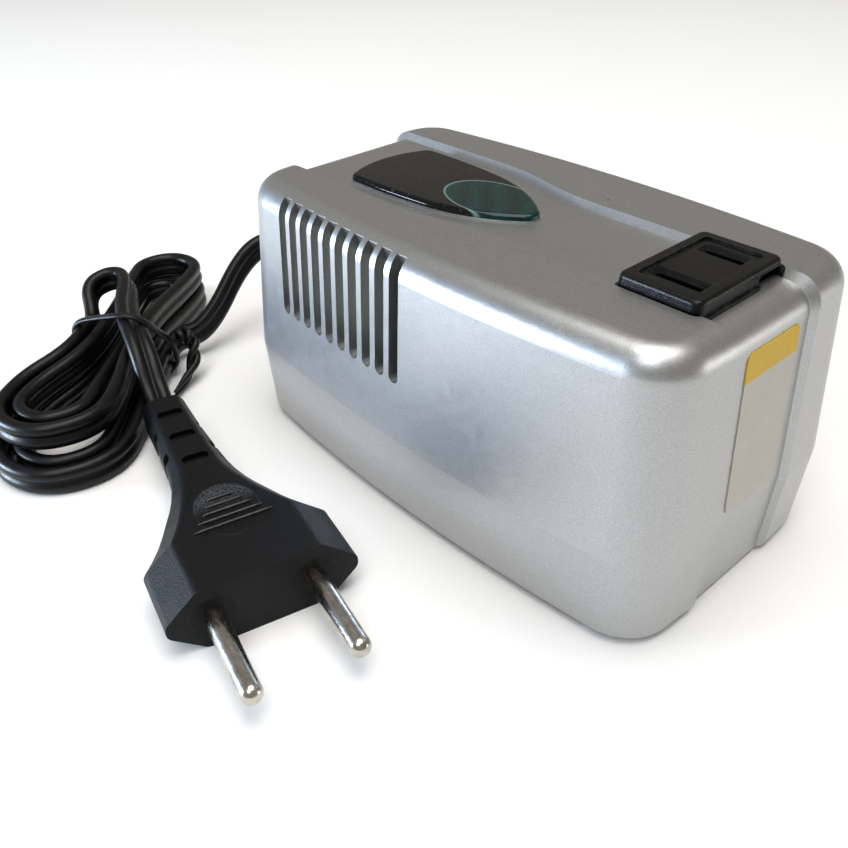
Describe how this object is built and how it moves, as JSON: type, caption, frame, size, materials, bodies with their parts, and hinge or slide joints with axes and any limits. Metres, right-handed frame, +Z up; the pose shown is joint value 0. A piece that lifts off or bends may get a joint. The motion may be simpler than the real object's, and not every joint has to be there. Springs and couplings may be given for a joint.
{
  "type": "travel voltage converter",
  "caption": "Travel voltage converter: silver vented case with a flat-blade outlet and badge on top, and a tied flat mains cord ending in a round-pin plug.",
  "frame": {"origin": "On the surface the case stands on, under the middle of the case; the cord and plug lie beside it and are left out of this middle.", "axes": "+X runs along the case towards the end with the outlet and the label, +Y across it away from the plug, +Z up."},
  "size_m": [0.1865, 0.1215, 0.0594],
  "materials": {
    "case_silver": "satin silver paint over moulded plastic",
    "zinc_steel": "zinc plated",
    "barrier_grey": "matt grey pressed board",
    "badge_rim": "printed film, light edge",
    "badge_black": "clear resin dome over a dark print",
    "label_paper": "blank self-adhesive film",
    "outlet_black": "satin black moulding",
    "contact_brass": "stamped strip",
    "core_steel": "varnished laminations",
    "bobbin_nylon": "natural nylon",
    "tinned_tags": "tinned",
    "winding_copper": "enamelled wire, wound solid",
    "winding_tape": "polyester tape",
    "fuse_body": "moulded body with tinned leads",
    "lead_brown": "insulated wire",
    "lead_blue": "insulated wire",
    "cord_pvc": "semi-gloss black flexible cord",
    "tie_black": "matt black tie",
    "plug_pvc": "fine textured black moulding",
    "carrier_black": "smooth black moulding",
    "nickel_pins": "nickel plated, polished"
  },
  "bodies": {
    "root": {"top_cover": "case_silver", "base_shell": "case_silver", "case_screws": "zinc_steel", "vent_barriers": "barrier_grey", "badge_plate": "badge_rim", "badge_dome": "badge_black", "end_label": "label_paper", "outlet_housing": "outlet_black", "outlet_contacts": "contact_brass", "outlet_rear_cap": "outlet_black", "core_e_stack": "core_steel", "core_i_stack": "core_steel", "core_bracket": "zinc_steel", "bracket_screws": "zinc_steel", "bobbin": "bobbin_nylon", "bobbin_tags": "tinned_tags", "primary_winding": "winding_copper", "secondary_winding": "winding_copper", "winding_tapes": "winding_tape", "thermal_fuse": "fuse_body", "lead_in_line": "lead_brown", "lead_in_neutral": "lead_blue", "lead_out_line": "lead_brown", "lead_out_neutral": "lead_blue", "cord_bush": "cord_pvc", "cord_feed": "cord_pvc", "cord_hank": "cord_pvc", "cord_tail": "cord_pvc", "cord_tie": "tie_black", "plug_body": "plug_pvc", "plug_pin_carrier": "carrier_black", "plug_pins": "nickel_pins"}
  },
  "joints": []
}
